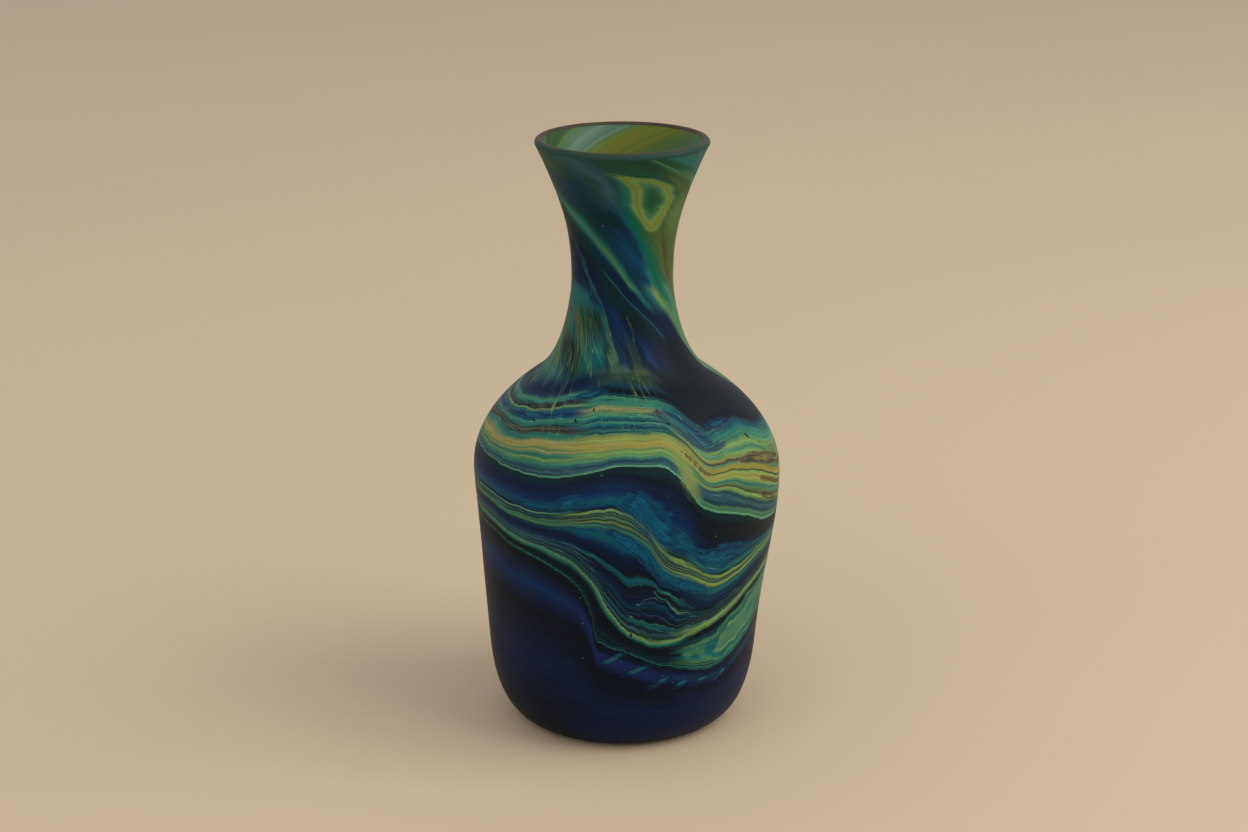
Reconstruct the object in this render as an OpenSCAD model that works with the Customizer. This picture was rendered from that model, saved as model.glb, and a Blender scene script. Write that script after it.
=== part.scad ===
// Hand-blown vase in swirled art glass: a bottle body with a narrow neck and a flared mouth.
// It is built up as the masses of glass that the maker gathers, overlays and fuses, each as its own solid.
// Origin: centre of the foot ring, on the surface that the vase stands on. +Z runs up the axis to the mouth.

/* [Outline] */
// Height from the foot to the top of the lip
vase_h = 200; // [196:1:206]
// Radius of the flat foot ring, where the heel starts to curve up
foot_r = 30.5; // [28:0.5:33]
// Radius at the top of the heel, where the side wall begins
heel_r = 45.7; // [44:0.1:47]
// Height of the top of the heel
heel_h = 28; // [24:1:32]
// Lean of the side wall above the heel, in degrees from the floor
heel_lean = 86; // [84:1:88]
// Largest radius of the body
belly_r = 51.5; // [49:0.5:54]
// Height of the largest radius
belly_h = 88; // [84:1:92]
// Radius where the rounded shoulder turns into the neck
collar_r = 28; // [26:0.5:30]
// Height of that turn
collar_h = 122; // [119:1:125]
// Direction of the wall at that turn, in degrees from the floor
collar_lean = 143; // [138:1:148]
// Outside radius of the narrowest part of the neck
waist_r = 16.8; // [15:0.1:19]
// Height of the narrowest part of the neck
waist_h = 154; // [150:1:158]
// Outside radius of the wall just under the lip
mouth_r = 28.3; // [26:0.1:31]
// Flare of the wall just under the lip, in degrees from the floor
mouth_lean = 64; // [58:1:72]

/* [Glass] */
// Thickness of the swirled outer casing
casing_t = 1.5; // [1.2:0.1:2]
// Thickness of the inner gather
gather_t = 1.4; // [1.1:0.1:1.8]
// How far the fire-polished lip stands out past the wall on each side
lip_bead = 0.05; // [0.05:0.05:0.5]
// Thickness of the glass floor at the middle of the inner gather
floor_t = 2.2; // [1.6:0.1:3]

/* [Base] */
// Inside radius of the flat foot ring
ring_r = 22; // [20:0.5:25]
// Depth of the pushed-up base at the pontil
punt_h = 3.2; // [2.4:0.1:4]
// Step from the foot ring up to the edge of the pushed-up base
punt_step = 0.4; // [0.2:0.1:0.8]
// Radius of the pontil mark
pontil_r = 7.5; // [6:0.5:9]
// Thickness of the pontil mark
pontil_t = 1.4; // [1:0.1:1.8]
// Rounding of the pontil mark's edge
pontil_edge = 0.5; // [0.3:0.1:0.6]

/* [Hidden] */

steps = 14;                     // straight pieces in each stretch of the outline
pad_step = 8;                   // step of the heel at which the inner gather leaves the base pad
fillet_step = 10;               // step of the heel at which the inside starts to round into the floor
arc_steps = 10;                 // straight pieces in each small arc
wall_t = casing_t + gather_t;
lip_r = wall_t / 2 + lip_bead;
mouth_h = vase_h - lip_r - wall_t / 2 * cos(mouth_lean);

// A station of the outline: [radius, height, lean, reach of the curve below it, reach above it].
stations = [
    [foot_r,   0,        0,           0,  2.2],
    [heel_r,   heel_h,   heel_lean,   28, 22],
    [belly_r,  belly_h,  90,          14, 19],
    [collar_r, collar_h, collar_lean, 5,  10],
    [waist_r,  waist_h,  90,          8,  10.5],
    [mouth_r,  mouth_h,  mouth_lean,  25, 0],
];

function heading(lean) = [cos(lean), sin(lean)];
function place(s) = [s[0], s[1]];

// Corner points of the Bezier curve from station a to station b.
function handles(a, b) = [
    place(a),
    place(a) + a[4] * heading(a[2]),
    place(b) - b[3] * heading(b[2]),
    place(b),
];
function on_curve(p, t) =
    pow(1 - t, 3) * p[0] + 3 * t * pow(1 - t, 2) * p[1] + 3 * t * t * (1 - t) * p[2] + pow(t, 3) * p[3];
function along_curve(p, t) =
    pow(1 - t, 2) * (p[1] - p[0]) + 2 * t * (1 - t) * (p[2] - p[1]) + t * t * (p[3] - p[2]);
function unit(v) = v / norm(v);
function inward(v) = [-v[1], v[0]];
// The point at t, moved into the glass by depth.
function in_glass(p, t, depth) = on_curve(p, t) + depth * inward(unit(along_curve(p, t)));

// The whole outline from the foot up to the mouth, moved into the glass by depth.
function skin(depth) = [
    for (k = [0 : len(stations) - 2])
        let (p = handles(stations[k], stations[k + 1]))
        for (i = [k == 0 ? 0 : 1 : steps])
            in_glass(p, i / steps, depth)
];
function part_of(points, first, last) = [for (i = [first : last]) points[i]];
function reversed(points) = [for (i = [len(points) - 1 : -1 : 0]) points[i]];
last_point = (len(stations) - 1) * steps;

// Height of the pushed-up base over radius r, as part of a sphere.
punt_ball = (pow(ring_r, 2) - pow(pontil_r, 2)) / (2 * (punt_h - punt_step));
function punt_at(r) = punt_h - (pow(r, 2) - pow(pontil_r, 2)) / (2 * punt_ball);

// Inside of the floor: a curve from the wall's inside to flat glass.
function floor_curve(from, next, floor_z) =
    let (
        way = unit(from - next),
        drop = (from[1] - floor_z) / -way[1],
        corner = from + drop * way
    )
    [for (i = [1 : arc_steps])
        on_curve([from, from + 0.6 * (corner - from), corner, corner - [drop, 0]], i / arc_steps)];

// First gather: the bubble that the vase is blown from, which lines it from the floor to the lip.
module inner_gather() {
    outside = part_of(skin(casing_t), pad_step, last_point);
    inside = part_of(skin(wall_t), fillet_step, last_point);
    floor_z = outside[0][1] + floor_t;
    color([0.42, 0.56, 0.30])
        rotate_extrude($fn = 128)
            polygon(concat(
                [[0, outside[0][1]]],
                outside,
                reversed(inside),
                floor_curve(inside[0], inside[1], floor_z),
                [[0, floor_z]]
            ));
}

// Coloured overlay: the swirled skin, from the lip down over the heel to the flat foot ring.
module outer_casing() {
    color([0.05, 0.22, 0.34])
        rotate_extrude($fn = 128)
            polygon(concat(
                [[ring_r, 0]],
                skin(0),
                reversed(skin(casing_t)),
                [[ring_r, casing_t]]
            ));
}

// Fire-polished lip: a rounded ring that closes the end of both walls.
module lip_ring() {
    rim = in_glass(handles(stations[4], stations[5]), 1, wall_t / 2);
    color([0.30, 0.27, 0.20])
        rotate_extrude($fn = 128)
            translate(rim)
                rotate(mouth_lean)
                    intersection() {
                        circle(r = lip_r, $fn = 64);
                        translate([0, -lip_r])
                            square([lip_r, 2 * lip_r]);
                    }
}

// Thick glass between the bubble and the casing, pushed up in the middle so that the vase stands on its foot ring.
module base_pad() {
    heel = part_of(skin(casing_t), 0, pad_step);
    dome = [for (i = [0 : arc_steps])
        let (r = pontil_r + (ring_r - pontil_r) * i / arc_steps)
        [r, punt_at(r)]];
    color([0.04, 0.05, 0.18])
        rotate_extrude($fn = 128)
            polygon(concat(
                [[0, punt_h]],
                dome,
                [[ring_r, casing_t]],
                heel,
                [[0, heel[pad_step][1]]]
            ));
}

// Ground disc of glass left where the working rod was broken off, clear of the floor.
module pontil_mark() {
    corner = [pontil_r - pontil_edge, punt_h - pontil_t + pontil_edge];
    edge = [for (i = [0 : arc_steps])
        let (a = -90 + 90 * i / arc_steps)
        corner + pontil_edge * [cos(a), sin(a)]];
    color([0.10, 0.12, 0.30])
        rotate_extrude($fn = 128)
            polygon(concat(
                [[0, punt_h], [0, punt_h - pontil_t]],
                edge,
                [[pontil_r, punt_h]]
            ));
}

inner_gather();
outer_casing();
lip_ring();
base_pad();
pontil_mark();
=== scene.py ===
# %% [markdown]
# # A hand-blown vase in swirled art glass
# The vase is one vessel of fused glass: an inner bubble, a coloured casing over it, a melted lip,
# a thick base and the ground mark of the maker's rod. All of them are turned shapes with one axis,
# so each is drawn as half a section and spun. The swirl is a pattern, not a shape: every point of
# the casing is told which streak it lies in, and the shader turns that into layers of colour.

# %% Load the frame
import math

import bmesh
import bpy
import numpy as np
from mathutils import Matrix, Vector, noise
from mathutils.geometry import interpolate_bezier


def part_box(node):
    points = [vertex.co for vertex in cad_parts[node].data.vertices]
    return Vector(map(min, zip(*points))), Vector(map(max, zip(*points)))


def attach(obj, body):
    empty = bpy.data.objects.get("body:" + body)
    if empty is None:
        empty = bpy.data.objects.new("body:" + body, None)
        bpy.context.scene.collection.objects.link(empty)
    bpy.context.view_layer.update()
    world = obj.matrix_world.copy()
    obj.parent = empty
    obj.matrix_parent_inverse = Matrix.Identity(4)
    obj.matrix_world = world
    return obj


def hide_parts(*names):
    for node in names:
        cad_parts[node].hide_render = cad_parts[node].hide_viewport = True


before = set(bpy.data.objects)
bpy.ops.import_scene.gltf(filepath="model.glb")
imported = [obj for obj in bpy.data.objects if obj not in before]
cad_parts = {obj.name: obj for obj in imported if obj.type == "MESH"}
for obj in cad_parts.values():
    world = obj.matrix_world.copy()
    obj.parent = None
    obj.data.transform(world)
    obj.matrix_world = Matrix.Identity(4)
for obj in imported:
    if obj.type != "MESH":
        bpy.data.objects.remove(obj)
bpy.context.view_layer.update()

# %% [markdown]
# ## The outline
# A blower shapes the vase with one sweep of the hand for each part of its side: heel, wall,
# shoulder, collar, neck. A Bezier stretch between two stations does the same, because it takes a
# point and a lean at each end and is smooth between them. The largest radius and the height come
# from the frame, so the outline follows the CAD solid.

# %% Stations of the outline
MM = 0.001
BELLY_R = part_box("outer_casing")[1].x / MM
VASE_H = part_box("lip_ring")[1].z / MM
CASING_T = 1.5  # thickness of the casing, in mm like all that follows
WALL_T = 2.9  # casing and inner bubble together
LIP_R = 1.5  # half the thickness of the lip
MOUTH_LEAN = 64  # flare of the wall under the lip, in degrees from level
MOUTH_H = VASE_H - LIP_R - WALL_T / 2 * math.cos(math.radians(MOUTH_LEAN))

# radius, height, lean of the wall in degrees, reach of the curve below, reach above
STATIONS = [
    (30.5, 0, 0, 0, 2.2),
    (45.7, 28, 86, 28, 22),
    (BELLY_R, 88, 90, 14, 19),
    (28, 122, 143, 5, 10),
    (16.8, 154, 90, 8, 10.5),
    (28.3, MOUTH_H, MOUTH_LEAN, 25, 0),
]
print("belly radius", round(BELLY_R, 2), "height", round(VASE_H, 2))


# %% A skin of the vase
def stretch(a, b, pieces):
    """Points and headings of the wall between two stations."""
    heading_a = Vector((math.cos(math.radians(a[2])), math.sin(math.radians(a[2]))))
    heading_b = Vector((math.cos(math.radians(b[2])), math.sin(math.radians(b[2]))))
    start, end = Vector(a[:2]), Vector(b[:2])
    points = interpolate_bezier(start, start + a[4] * heading_a, end - b[3] * heading_b, end, pieces + 1)
    points = [p.to_2d() for p in points]
    between = [(q - p).normalized() for p, q in zip(points, points[1:])]
    inner = [(p + q).normalized() for p, q in zip(between, between[1:])]
    return points, [heading_a, *inner, heading_b]


def skin(depth, pieces):
    """The outline from foot to mouth, moved into the glass by depth; pieces are for each stretch."""
    made = []
    for k, (a, b) in enumerate(zip(STATIONS, STATIONS[1:])):
        points, headings = stretch(a, b, pieces[k])
        moved = [p + depth * Vector((-h.y, h.x)) for p, h in zip(points, headings)]
        made += moved if k == 0 else moved[1:]
    return made


def arc(centre, radius, start, end, steps):
    """Points on an arc round a centre, from one angle to another in degrees."""
    headings = [math.radians(start + (end - start) * k / steps) for k in range(steps + 1)]
    return [centre + radius * Vector((math.cos(a), math.sin(a))) for a in headings]


# %% [markdown]
# ## Turning a section into glass
# A lathe or a blowpipe both make the same thing from a half section, and `bmesh.ops.spin` is that
# lathe. A section that touches the axis leaves a ring of doubled points there, so doubles are
# merged before the normals are worked out. Blown glass is never perfectly true: the belly sits a
# little to one side of the neck, and the wall wanders by a tenth of a millimetre, so every turned
# piece is bent by the same two rules.

# %% Two rules of soft glass
SAG = 1.7  # how far the belly has sagged to one side, in mm
SAG_HEIGHT = 79
SAG_SPREAD = 28
SET_BACK = 0.55  # the whole vase is set back by this, to stand over its foot
ROUND_FROM = 12  # below this height the wall grows true, because the foot is ground flat and round


def lean(height):
    """How far the axis of the soft glass lies to +X at a height, in mm."""
    return SAG * math.exp(-(((height - SAG_HEIGHT) / SAG_SPREAD) ** 2)) - SET_BACK


def wander(point):
    """Small unevenness of a hand-turned wall, in mm along the radius: long waves and short ones."""
    return 0.16 * noise.noise(point / (38 * MM)) + 0.05 * noise.noise(point / (13 * MM))


print("the belly leans by", round(lean(SAG_HEIGHT), 2), "mm and the lip by", round(lean(VASE_H), 2), "mm")


# %% The lathe
def show(name, data):
    """A new object in the scene, which holds a mesh, a lamp or a camera."""
    thing = bpy.data.objects.new(name, data)
    bpy.context.scene.collection.objects.link(thing)
    return thing


def turn(name, section, columns, closed=True):
    """Spins half a section, in mm, round the axis and returns the finished object."""
    mesh = bpy.data.meshes.new(name)
    bm = bmesh.new()
    corners = [bm.verts.new((p[0] * MM, 0, p[1] * MM)) for p in section]
    pairs = list(zip(corners, corners[1:]))
    if closed:
        pairs.append((corners[-1], corners[0]))
    edges = [bm.edges.new(pair) for pair in pairs]
    bmesh.ops.spin(bm, geom=corners + edges, cent=(0, 0, 0), axis=(0, 0, 1), dvec=(0, 0, 0),
                   angle=2 * math.pi, steps=columns, use_merge=True, use_duplicate=False)
    bmesh.ops.remove_doubles(bm, verts=bm.verts, dist=0.00001)
    bmesh.ops.recalc_face_normals(bm, faces=bm.faces)
    for v in bm.verts:
        radius = math.hypot(v.co.x, v.co.y)
        if radius > 0:
            v.co.xy *= 1 + wander(v.co) * MM / radius * min(1, v.co.z / (ROUND_FROM * MM))
        v.co.x += lean(v.co.z / MM) * MM
    bm.to_mesh(mesh)
    bm.free()
    mesh.polygons.foreach_set("use_smooth", [True] * len(mesh.polygons))
    mesh.set_sharp_from_angle(angle=math.radians(50))
    piece = show(name, mesh)
    print(name, len(mesh.vertices), "points", len(mesh.polygons), "faces")
    return piece


def settle(piece, node):
    """A finished piece rides on the vase's body and hides the CAD node that it stands for."""
    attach(piece, "root")
    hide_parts(node)


# %% [markdown]
# ## The outer casing
# The casing is the coloured skin. Its outside is drawn with many short steps, under a millimetre,
# because the swirl's values are kept on its points and a coarse mesh would blur them. The face
# that is fused to the inner bubble is never seen, so it has few.

# %% Turn the casing
RING_R = 22
OUTSIDE_STEPS = (40, 74, 56, 46, 56)
FUSED_STEPS = (10, 8, 12, 12, 12)
casing_section = [Vector((RING_R, 0)), Vector((26, 0))]
casing_section += skin(0, OUTSIDE_STEPS)
casing_section += skin(CASING_T, FUSED_STEPS)[::-1]
casing_section += [Vector((RING_R, CASING_T))]
casing = turn("casing", casing_section, columns=256)
settle(casing, "outer_casing")

# %% [markdown]
# ## The swirl
# The maker lays threads of coloured glass round the gather, then drags them with a hook while it
# turns. Six of those threads are drawn here as lines: how high each runs at each angle round the
# vase. The angle is 0 at the front, at -Y, and grows to the right. A point's place between the
# lines is its layer, from 0 at the lowest thread to 5 at the highest. Layers crowd where the lines
# crowd, as glass does when it is dragged, and one list of colours then paints all of them.

# %% The dragged threads
THREADS = [
    {-80: 76, -60: 74.5, -50: 72.5, -40: 71, -30: 68.5, -25: 66.6, -20: 64, -15: 58, -12.3: 51, -11.5: 46.5,
     -8: 42.5, 0: 39.5, 10: 36, 20: 33.5, 30: 31, 40: 30, 50: 32, 60: 35, 70: 39, 90: 46, 120: 56, 150: 60,
     180: 66, 210: 74, 240: 78},
    {-80: 79.5, -60: 78, -45: 75.3, -30: 73.5, -25: 72.2, -20: 70, -15: 66, -12: 63, -7.5: 56, -5: 52.5,
     0: 47, 5: 44, 10: 42.5, 20: 42, 30: 44, 40: 47, 50: 51, 60: 55, 70: 58, 80: 60, 110: 66, 140: 70,
     180: 74, 220: 80, 250: 81},
    {-80: 86.5, -60: 85.5, -40: 84.5, -30: 84.5, -20: 86.5, -10: 88.5, -5: 89, 0: 87, 5: 83, 7.5: 80.2,
     10: 75.5, 12: 72.3, 15: 70, 20: 68, 25: 66.5, 30: 64, 35: 62, 40: 62, 50: 64, 60: 67, 70: 68, 90: 71,
     120: 77, 150: 79, 180: 84, 220: 89, 250: 88},
    {-80: 99, -60: 98.5, -40: 98, -30: 98.5, -20: 100, -10: 102, 0: 103.5, 10: 103.5, 15: 103, 20: 100,
     22: 98, 24: 95, 26: 91.5, 28: 89.3, 32: 87.3, 40: 85, 50: 82, 60: 78, 70: 76, 90: 78, 120: 86, 150: 88,
     180: 94, 220: 100, 250: 100},
    {-80: 104, -60: 104.5, -50: 105.5, -40: 107, -30: 108, -20: 108.5, -10: 109, 0: 110, 10: 110, 20: 108.5,
     22: 107, 25: 104, 27: 102, 30: 98.2, 32: 97, 40: 97, 50: 96.5, 60: 94, 70: 90, 80: 87, 100: 90, 120: 96,
     150: 98, 180: 102, 220: 106, 250: 105},
    {-80: 115, -60: 115.5, -40: 117, -30: 119, -20: 120, -10: 121, 0: 121, 10: 120.5, 20: 119.5, 30: 117,
     33: 115, 36: 112.5, 40: 110, 46: 110, 50: 110, 60: 111, 70: 108, 80: 106, 100: 106, 120: 108, 150: 112,
     180: 114, 220: 117, 250: 116},
]


def round_curve(points, angles):
    """A smooth closed curve through the points {angle: value}, read at each of the angles."""
    x = np.array(sorted(points), float)
    y = np.array([points[k] for k in sorted(points)], float)
    x = np.concatenate([x[-2:] - 360, x, x[:2] + 360])
    y = np.concatenate([y[-2:], y, y[:2]])
    gaps = np.diff(x)
    slopes = np.diff(y) / gaps
    lean_at = (slopes[:-1] * gaps[1:] + slopes[1:] * gaps[:-1]) / (gaps[:-1] + gaps[1:])
    x, y = x[1:-1], y[1:-1]
    turned = (angles - x[1]) % 360 + x[1]
    k = np.clip(np.searchsorted(x, turned, side="right") - 1, 0, len(x) - 2)
    gap = x[k + 1] - x[k]
    t = (turned - x[k]) / gap
    rise = (2 * t**3 - 3 * t**2 + 1) * y[k] + (3 * t**2 - 2 * t**3) * y[k + 1]
    return rise + gap * ((t**3 - 2 * t**2 + t) * lean_at[k] + (t**3 - t**2) * lean_at[k + 1])


# %% Tell every point of the casing its layer
def points_of(piece):
    """Angle round the vase in degrees and height in mm of every point, with the sag taken out."""
    where = np.empty(3 * len(piece.data.vertices))
    piece.data.vertices.foreach_get("co", where)
    x, y, z = where.reshape(-1, 3).T / MM
    x = x - np.array([lean(h) for h in z])
    return np.degrees(np.arctan2(x, -y)), z


def keep(piece, name, values):
    """Stores a number, or a row of three, for each point, under a name that a material can read."""
    kind, field = ("FLOAT", "value") if values.ndim == 1 else ("FLOAT_VECTOR", "vector")
    stored = piece.data.attributes.new(name, kind, "POINT")
    stored.data.foreach_set(field, values.astype(np.float32).ravel())


def drift(angles, heights, waves, tall):
    """Smooth noise from -1 to 1, finer round the vase with more waves, and tall mm high a wave."""
    a = np.radians(angles)
    places = zip(np.sin(a) * waves, np.cos(a) * waves, heights / tall)
    return np.array([noise.noise(Vector(place)) for place in places])


def lines_at(angles):
    """Heights of layers -1 to 6 at each angle."""
    lines = [round_curve(thread, angles) for thread in THREADS]
    return [np.minimum(lines[0] - 24, 8), *lines, lines[-1] + 12]


def layer_of(angles, heights):
    """The swirl's layer at each point, and how many layers go by in a mm of height there."""
    lines = lines_at(angles)
    layer = -1 + (heights - lines[0]) / 10
    pace = np.full(len(heights), 0.1)
    for k, (below, above) in enumerate(zip(lines, lines[1:])):
        inside = heights >= below
        layer = np.where(inside, k - 1 + (heights - below) / (above - below), layer)
        pace = np.where(inside, 1 / (above - below), pace)
    return layer, pace


angles, heights = points_of(casing)
near_hook = np.exp(-(((angles - 12) / 20) ** 2)) * np.exp(-(((heights - 58) / 22) ** 2))
shaken = heights + 0.5 * drift(angles, heights, 5, 26) + 0.25 * drift(angles + 40, heights, 14, 11)
shaken = shaken + near_hook * 1.5 * drift(angles, heights, 24, 16)
layers, pace = layer_of(angles, shaken)
keep(casing, "pace", pace)
print("layers run from", round(float(layers.min()), 1), "to", round(float(layers.max()), 1))

# %% [markdown]
# Where the hook went in, the layers between the threads rose or sank on their own. Each of these
# hills is a smooth bump added to the layers, low enough that it never folds them over. The side
# of the vase is kept as well: 0 on the left, 0.5 in the middle and 1 on the right.

# %% Hills in the layers, and the side of the vase
# layers added, angle, degrees wide, layer, layers tall
HILLS = [
    (-0.30, 34, 10, 3.65, 0.38), (-0.26, 13, 10, 1.6, 0.36), (-0.06, -6, 5, 1.35, 0.15),
    (-0.16, 26, 5, 4.2, 0.3), (0.22, 34, 7, 4.65, 0.25), (-0.18, -72, 12, 4.4, 0.3),
]
SIDE = {-70: 0, -35: 0, -8: 0.5, 14: 0.5, 34: 1, 80: 1, 110: 0.8, 150: 0.4, 200: 0.15, 250: 0.05}
hilly = layers.copy()
for rise, at, wide, layer, tall in HILLS:
    hilly += rise * np.exp(-(((angles - at) / wide) ** 2) - (((layers - layer) / tall) ** 2))
keep(casing, "layer", hilly)
keep(casing, "side", round_curve(SIDE, angles))
print(len(HILLS), "hills")

# %% [markdown]
# ## Stains
# Here and there a chip of another colour has melted in and spread into nested loops. A stain is an
# oval in the vase's own terms: an angle, a layer, how far it reaches round and up, and how much it
# climbs as it goes round. The value is 1 at its middle and 0 at its edge.

# %% Ovals of melted chips
STAINS = {
    "leaf": [(63, 0.44, 40, 0.44, 0.004), (150, 0.55, 34, 0.2, 0.006), (215, 0.4, 26, 0.16, -0.004)],
    "cloud": [(8, 2.34, 15, 0.36, 0.003), (36, 2.3, 17, 0.24, 0.006), (-22, 2.34, 8, 0.24, 0.02),
              (-34, 2.3, 30, 0.1, 0.0), (2, 1.79, 18, 0.09, -0.002), (24, 1.78, 12, 0.1, 0.0),
              (160, 2.4, 26, 0.3, 0.004), (230, 2.35, 24, 0.26, -0.004)],
    "feather": [(-4, -0.13, 7, 0.05, 0.02), (6, -0.17, 7, 0.05, 0.02), (16, -0.25, 7, 0.06, 0.022),
                (26, -0.24, 6, 0.06, 0.02), (35, -0.2, 7, 0.06, 0.015), (46, -0.22, 8, 0.06, 0.01),
                (120, -0.2, 20, 0.06, 0.01)],
    "ember": [(66, 4.33, 19, 0.15, 0.006), (70, 3.9, 14, 0.07, 0.0), (66, 3.5, 10, 0.1, -0.004),
              (28, 4.1, 8, 0.06, 0.0), (190, 4.25, 20, 0.1, 0.003)],
    "hook": [(23.5, 3.45, 5.5, 0.6, -0.01), (205, 4.1, 7, 0.7, -0.01)],
    "pool": [(-50, 4.74, 13, 0.1, -0.001), (-22, 5.1, 12, 0.1, 0.001), (26, 4.7, 14, 0.16, 0.002),
             (36, 4.62, 12, 0.13, 0.008), (47, 5.1, 9, 0.1, -0.006), (200, 4.8, 20, 0.14, 0.002)],
}


def stain(angles, layers, spots):
    """1 at the middle of the nearest oval and 0 or less outside all of them."""
    best = np.full(len(angles), -1.0)
    for at, layer, wide, tall, climb in spots:
        off = (angles - at + 180) % 360 - 180
        value = 1 - np.hypot(off / wide, (layers - layer - climb * off) / tall)
        best = np.maximum(best, value)
    return best


ruffle = 0.22 * drift(angles, heights, 9, 7) + 0.12 * drift(angles, heights, 26, 3)
for name, spots in STAINS.items():
    top = layers * 8 if name == "leaf" else 1  # the leaf ends at the lowest thread
    keep(casing, name, np.minimum(stain(angles, layers, spots) + ruffle, top))
print(sum(len(spots) for spots in STAINS.values()), "stains")

# %% [markdown]
# ## The twist of the neck
# The hook's pull turns the neck, so its streaks climb in a helix. They too are drawn as lines:
# the turned angle of each at every height. A point's place between the lines is its strand, from 0
# at the back, by 3 at the front, to 7 at the back again. It is kept as a place on a circle, so
# that nothing jumps where 7 meets 0.

# %% Strands of the neck
# degrees turned in each mm of height
TWIST = {110: 1.2, 140: 1.8, 150: 2.6, 160: 3.0, 185: 4.0, 200: 6.0}
# {height: turned angle} of each line
STRANDS = [
    {100: -150, 200: -150},
    {112: -60, 125: -46, 140: -34, 148: -28, 156: -21, 162: -12, 170: -6, 180: 5, 190: 20, 200: 40},
    {112: -12, 130: -2, 150: 4, 165: 3, 175: 6, 185: 20, 200: 52},
    {112: 22, 140: 20, 150: 19, 160: 23, 170: 28, 182: 35, 190: 46, 200: 72},
    {112: 37, 125: 41, 140: 44, 150: 43, 153: 43, 156: 50, 166: 66, 174: 82, 182: 97, 190: 128, 200: 150},
    {112: 74, 140: 73, 150: 73, 159: 81, 169: 101, 172: 108, 178: 133, 183: 157, 188: 169, 193: 175,
     200: 190},
    {112: 130, 150: 130, 180: 195, 190: 196, 200: 200},
    {100: 210, 200: 210},
]


def read(table, heights):
    """The value at each height, changing evenly between the entries of {height: value}."""
    return np.interp(heights, list(table), list(table.values()))


def twist_of(heights):
    """Degrees that the streaks of the neck have turned at each height, 0 at a height of 150."""
    steps = np.arange(0, 210, 1.0)
    rate = read(TWIST, steps)
    total = np.concatenate([[0], np.cumsum((rate[1:] + rate[:-1]) / 2)])
    return np.interp(heights, steps, total - np.interp(150, steps, total))


def turned_at(angles, heights):
    """Angles with the twist added, from -150 to 210 degrees."""
    return (angles + twist_of(heights) + 150) % 360 - 150


def strand_of(turned, heights):
    """The neck's strand at each point, as a place on a circle that goes round once in 7 strands."""
    lines = [read(line, heights) for line in STRANDS]
    strand = np.zeros(len(heights))
    for k, (left, right) in enumerate(zip(lines, lines[1:])):
        strand = np.where(turned >= left, k + (turned - left) / (right - left), strand)
    around = strand / 7 * 2 * math.pi
    return np.column_stack([-np.cos(around), -np.sin(around), np.zeros(len(around))])


turned = turned_at(angles + 2.5 * drift(angles, heights, 4, 22), heights)
keep(casing, "strand", strand_of(turned, heights))
keep(casing, "twist", np.radians(twist_of(heights)))
print("from foot to lip the streaks turn by", round(float(np.ptp(twist_of(heights)))), "degrees")

# %% [markdown]
# High on the neck, one thread was hooked back on itself and hangs as a drop-shaped loop. It is
# kept as the distance inside its outline, in turned degrees. Lower down, one pale wisp crosses
# the strands, and it is kept as the distance from its line.

# %% The hooked loop and the wisp
LOOP_LEFT = {172: 101, 173: 97, 178: 103, 182: 113, 188: 136, 193: 144}
LOOP_RIGHT = {172: 101, 178: 131, 183: 156, 188: 168, 191: 164, 193: 146}
LOOP_LOW = 172.5
LOOP_HIGH = 193
WISP = {138: 15, 146: 8, 152: 5, 160: 3}
WISP_LOW = 138
WISP_HIGH = 158


def inside_loop(turned, heights):
    """How far a point is inside the loop: its outline is thin on the left and thick on the right."""
    from_left = turned - read(LOOP_LEFT, heights)
    from_right = read(LOOP_RIGHT, heights) - turned
    upright = np.minimum(heights - LOOP_LOW, LOOP_HIGH - heights) * 5
    sides = np.array([from_left * 0.8, from_right / 1.6, upright])
    nearest = sides.min(axis=0)
    rounded = (sides.clip(0.1, None) ** -2.0).sum(axis=0) ** -0.5
    return np.where(nearest > 0.1, rounded, nearest).clip(-20, 40)


def off_wisp(turned, heights):
    """How far a point is from the wisp's line, or past its ends."""
    past_end = np.maximum(WISP_LOW - heights, heights - WISP_HIGH).clip(0, None)
    return np.abs(turned - read(WISP, heights)).clip(0, 20) + past_end / 3


keep(casing, "loop", inside_loop(turned, heights))
keep(casing, "wisp", off_wisp(turned, heights))
print(int((inside_loop(turned, heights) > 0).sum()), "points in the loop")

# %% [markdown]
# ## The inner bubble
# The first gather lines the vase from the floor to the lip. It is a closed bag, so its section
# starts and ends on the axis. Its wall takes up where the casing stops.

# %% Turn the inner gather
GATHER_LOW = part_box("inner_gather")[0].z / MM
FLOOR_T = 2.2
FLOOR_ROUND = 3  # reach of the curve between the wall and the floor
outside = [p for p in skin(CASING_T, (14, 10, 14, 14, 14)) if p.y > GATHER_LOW - 0.01]
inside = [p for p in skin(WALL_T, (28, 30, 34, 30, 60)) if p.y > GATHER_LOW + FLOOR_T + FLOOR_ROUND]
floor_z = GATHER_LOW + FLOOR_T
foot_in = inside[0]
corner = Vector((foot_in.x - 1, floor_z))
inner_floor = [p.to_2d() for p in interpolate_bezier(
    foot_in, foot_in.lerp(corner, 0.6), corner, corner - Vector((FLOOR_ROUND, 0)), 9)][1:]
gather_section = [Vector((0, GATHER_LOW)), *outside, *inside[::-1], *inner_floor]
gather_section += [Vector((r, floor_z)) for r in (30, 22, 14, 6, 0)]
gather = turn("inner_bubble", gather_section, columns=192, closed=False)
settle(gather, "inner_gather")
keep(gather, "twist", np.radians(twist_of(points_of(gather)[1])))

# %% [markdown]
# ## The melted lip
# The vase is cracked off the pipe and its edge is softened in the fire until surface tension
# rounds it. The ring is half a circle in section, a little fatter than the wall that it closes.
# Its points keep their angle across the ring, because the dark skin runs over its outside.

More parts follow.
